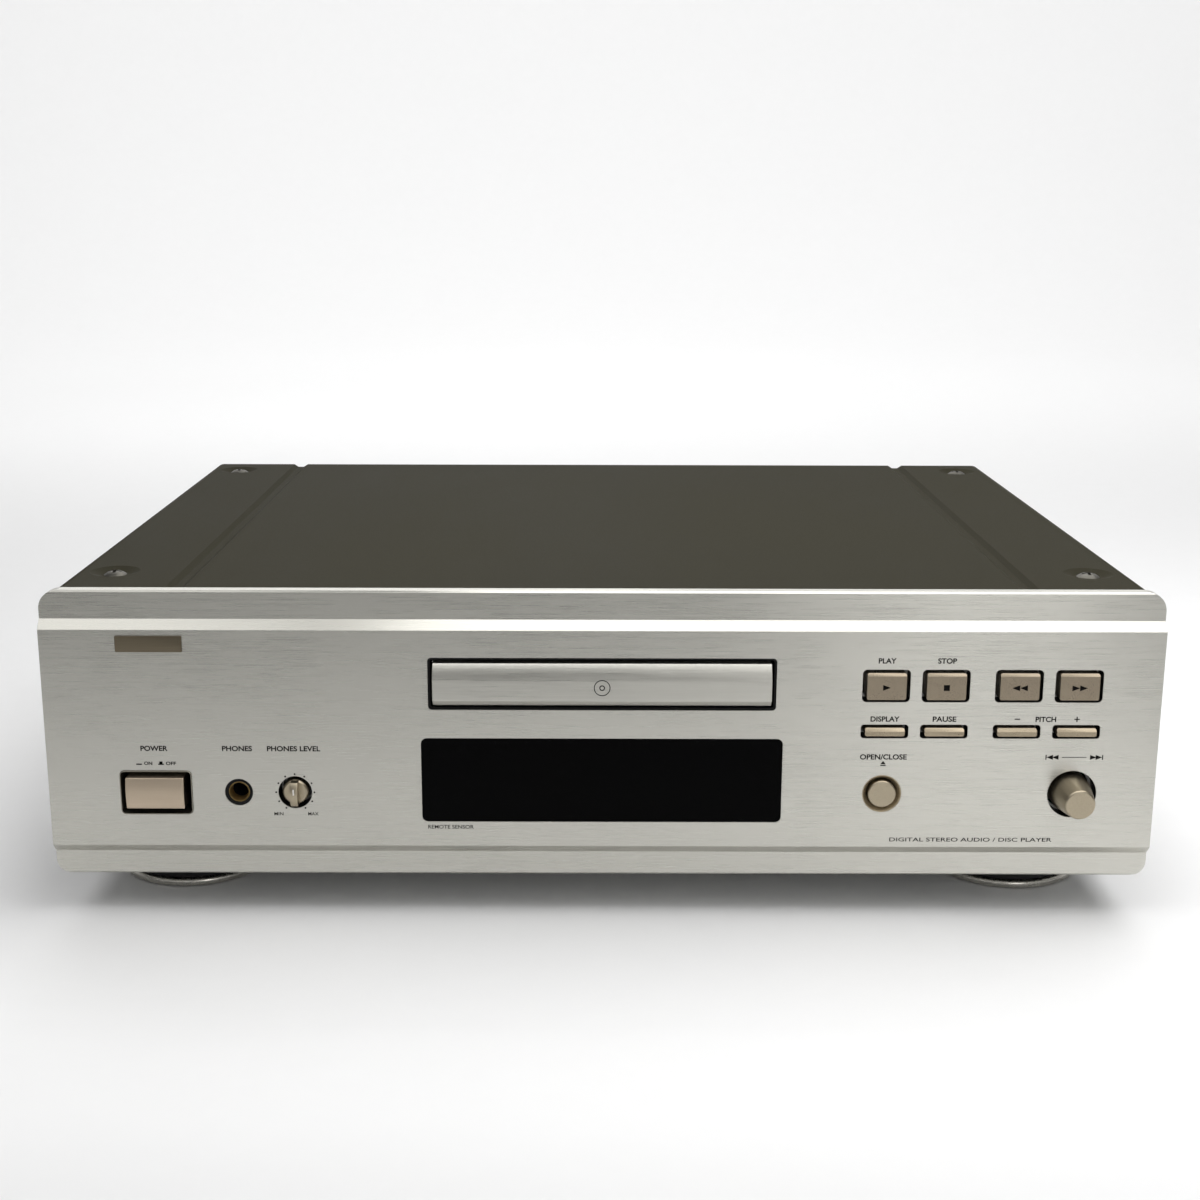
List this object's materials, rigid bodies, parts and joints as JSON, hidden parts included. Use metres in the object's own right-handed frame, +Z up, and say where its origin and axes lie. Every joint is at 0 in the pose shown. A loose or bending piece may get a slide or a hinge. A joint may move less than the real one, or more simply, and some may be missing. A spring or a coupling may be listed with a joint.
{
  "type": "disc player",
  "caption": "Full-width front-loading audio disc player with brushed panel, motorised drawer, display window, push buttons and turning knobs on round feet.",
  "frame": {"origin": "on the standing surface, under the middle of the overall box", "axes": "+X to the right seen from the front, +Y from the front panel to the rear, +Z up"},
  "size_m": [0.434, 0.335, 0.133],
  "materials": {
    "silver_panel": "horizontally brushed, satin anodised",
    "cover_paint": "semi-matt baked enamel",
    "screw_finish": "dark nickel plating",
    "zinc_steel": "zinc plated sheet",
    "foot_plastic": "fine textured",
    "foot_trim": "satin plated ring",
    "pad_rubber": "matt",
    "badge_bronze": "dark bronze plate",
    "window_acrylic": "polished smoked acrylic",
    "display_glass": "clear tube on a green board",
    "black_plastic": "fine textured",
    "bezel_metal": "satin",
    "champagne_cap": "champagne anodised",
    "bronze_key": "metallic bronze",
    "brass_contact": "polished",
    "ivory_plastic": "moulded",
    "motor_steel": "plated cans and ground rods",
    "belt_rubber": "matt",
    "lens_glass": "coated",
    "board_green": "solder mask",
    "component_mix": "sleeved capacitors and moulded chips",
    "core_steel": "varnished laminations"
  },
  "bodies": {
    "root": {"front_panel": "silver_panel", "front_subpanel": "zinc_steel", "top_cover": "cover_paint", "bottom_chassis": "zinc_steel", "rear_panel": "cover_paint", "cover_screws": "screw_finish", "rear_screws": "screw_finish", "foot_bodies": "foot_plastic", "foot_rings": "foot_trim", "foot_pads": "pad_rubber", "foot_screws": "screw_finish", "badge_plate": "badge_bronze", "display_window": "window_acrylic", "display_module": "display_glass", "drawer_surround": "black_plastic", "power_bezel": "bezel_metal", "power_switch": "black_plastic", "phones_jack": "black_plastic", "phones_jack_ring": "brass_contact", "phones_pot": "motor_steel", "skip_encoder": "motor_steel", "open_button_cup": "bronze_key", "control_board": "board_green", "tact_switches": "component_mix", "mech_frame": "black_plastic", "loading_motor": "motor_steel", "drive_belt": "belt_rubber", "clamp_bridge": "zinc_steel", "main_board": "board_green", "board_parts": "component_mix", "power_transformer": "core_steel", "rear_sockets": "black_plastic"},
    "drawer": {"disc_tray": "black_plastic", "tray_door": "silver_panel"},
    "tray_gear": {"tray_gear": "ivory_plastic"},
    "pulley_gear": {"pulley_gear": "ivory_plastic"},
    "motor_pulley": {"motor_pulley": "ivory_plastic"},
    "traverse": {"traverse_plate": "zinc_steel", "spindle_motor": "motor_steel", "guide_rods": "motor_steel", "sled_motor": "motor_steel"},
    "turntable": {"turntable": "black_plastic"},
    "clamp_puck": {"clamp_puck": "ivory_plastic"},
    "pickup": {"pickup_sled": "black_plastic", "pickup_lens": "lens_glass"},
    "sled_gear": {"sled_gear": "ivory_plastic"},
    "sled_motor_gear": {"sled_motor_gear": "ivory_plastic"},
    "power_button": {"power_button": "champagne_cap", "power_link": "ivory_plastic"},
    "phones_level_knob": {"phones_level_knob": "champagne_cap"},
    "skip_knob": {"skip_knob": "champagne_cap"},
    "play_button": {"play_button": "bronze_key"},
    "stop_button": {"stop_button": "bronze_key"},
    "rewind_button": {"rewind_button": "bronze_key"},
    "forward_button": {"forward_button": "bronze_key"},
    "display_button": {"display_button": "bronze_key"},
    "pause_button": {"pause_button": "bronze_key"},
    "pitch_down_button": {"pitch_down_button": "bronze_key"},
    "pitch_up_button": {"pitch_up_button": "bronze_key"},
    "open_button": {"open_button": "champagne_cap"}
  },
  "joints": [
    {"name": "drawer_slide", "type": "slide", "parent": "root", "child": "drawer", "axis": [0, -1, 0], "range_m": [0, 0.135]},
    {"name": "tray_gear_spin", "type": "hinge", "parent": "root", "child": "tray_gear", "pos_m": [-0.045, -0.1268, 0.089], "axis": [0, 0, 1], "range_deg": [-114, 762]},
    {"name": "pulley_gear_spin", "type": "hinge", "parent": "root", "child": "pulley_gear", "pos_m": [-0.026, -0.1268, 0.086], "axis": [0, 0, 1], "range_deg": [-1305, 194]},
    {"name": "motor_pulley_spin", "type": "hinge", "parent": "root", "child": "motor_pulley", "pos_m": [0.014, -0.1183, 0.086], "axis": [0, 0, 1], "range_deg": [-4756, 705]},
    {"name": "traverse_tilt", "type": "hinge", "parent": "root", "child": "traverse", "pos_m": [0.008, 0.0102, 0.082], "axis": [1, 0, 0], "range_deg": [0, 7]},
    {"name": "turntable_spin", "type": "hinge", "parent": "traverse", "child": "turntable", "pos_m": [0, -0.0848, 0.094], "axis": [0, 0, 1], "continuous": true},
    {"name": "clamp_spin", "type": "hinge", "parent": "root", "child": "clamp_puck", "pos_m": [0, -0.0848, 0.101], "axis": [0, 0, 1], "continuous": true},
    {"name": "pickup_slide", "type": "slide", "parent": "traverse", "child": "pickup", "axis": [0, 1, 0], "range_m": [0, 0.033]},
    {"name": "sled_gear_spin", "type": "hinge", "parent": "traverse", "child": "sled_gear", "pos_m": [0.039, -0.0288, 0.079], "axis": [0, 0, 1], "range_deg": [-320, 49]},
    {"name": "sled_motor_spin", "type": "hinge", "parent": "traverse", "child": "sled_motor_gear", "pos_m": [0.039, -0.0108, 0.078], "axis": [0, 0, 1], "range_deg": [-127, 830]},
    {"name": "power_press", "type": "slide", "parent": "root", "child": "power_button", "axis": [0, 1, 0], "range_m": [0, 0.003], "stiffness_N_per_m": 400},
    {"name": "phones_level_turn", "type": "hinge", "parent": "root", "child": "phones_level_knob", "pos_m": [-0.1203, -0.1498, 0.0524], "axis": [0, 1, 0], "range_deg": [-150, 150]},
    {"name": "skip_turn", "type": "hinge", "parent": "root", "child": "skip_knob", "pos_m": [0.1846, -0.1498, 0.0524], "axis": [0, 1, 0], "continuous": true},
    {"name": "play_press", "type": "slide", "parent": "root", "child": "play_button", "axis": [0, 1, 0], "range_m": [0, 0.0008], "stiffness_N_per_m": 600},
    {"name": "stop_press", "type": "slide", "parent": "root", "child": "stop_button", "axis": [0, 1, 0], "range_m": [0, 0.0008], "stiffness_N_per_m": 600},
    {"name": "rewind_press", "type": "slide", "parent": "root", "child": "rewind_button", "axis": [0, 1, 0], "range_m": [0, 0.0008], "stiffness_N_per_m": 600},
    {"name": "forward_press", "type": "slide", "parent": "root", "child": "forward_button", "axis": [0, 1, 0], "range_m": [0, 0.0008], "stiffness_N_per_m": 600},
    {"name": "display_press", "type": "slide", "parent": "root", "child": "display_button", "axis": [0, 1, 0], "range_m": [0, 0.0008], "stiffness_N_per_m": 600},
    {"name": "pause_press", "type": "slide", "parent": "root", "child": "pause_button", "axis": [0, 1, 0], "range_m": [0, 0.0008], "stiffness_N_per_m": 600},
    {"name": "pitch_down_press", "type": "slide", "parent": "root", "child": "pitch_down_button", "axis": [0, 1, 0], "range_m": [0, 0.0008], "stiffness_N_per_m": 600},
    {"name": "pitch_up_press", "type": "slide", "parent": "root", "child": "pitch_up_button", "axis": [0, 1, 0], "range_m": [0, 0.0008], "stiffness_N_per_m": 600},
    {"name": "open_press", "type": "slide", "parent": "root", "child": "open_button", "axis": [0, 1, 0], "range_m": [0, 0.0008], "stiffness_N_per_m": 600}
  ],
  "couplings": [
    {"joint": "tray_gear_spin", "follows": "drawer_slide", "rad_per_m": 83.333},
    {"joint": "pulley_gear_spin", "follows": "drawer_slide", "rad_per_m": -142.86},
    {"joint": "motor_pulley_spin", "follows": "drawer_slide", "rad_per_m": -521.01},
    {"joint": "traverse_tilt", "follows": "drawer_slide", "rad_per_m": 0.9},
    {"joint": "clamp_spin", "follows": "turntable_spin", "ratio": 1},
    {"joint": "sled_gear_spin", "follows": "pickup_slide", "rad_per_m": -142.86},
    {"joint": "sled_motor_spin", "follows": "pickup_slide", "rad_per_m": 371.43}
  ]
}
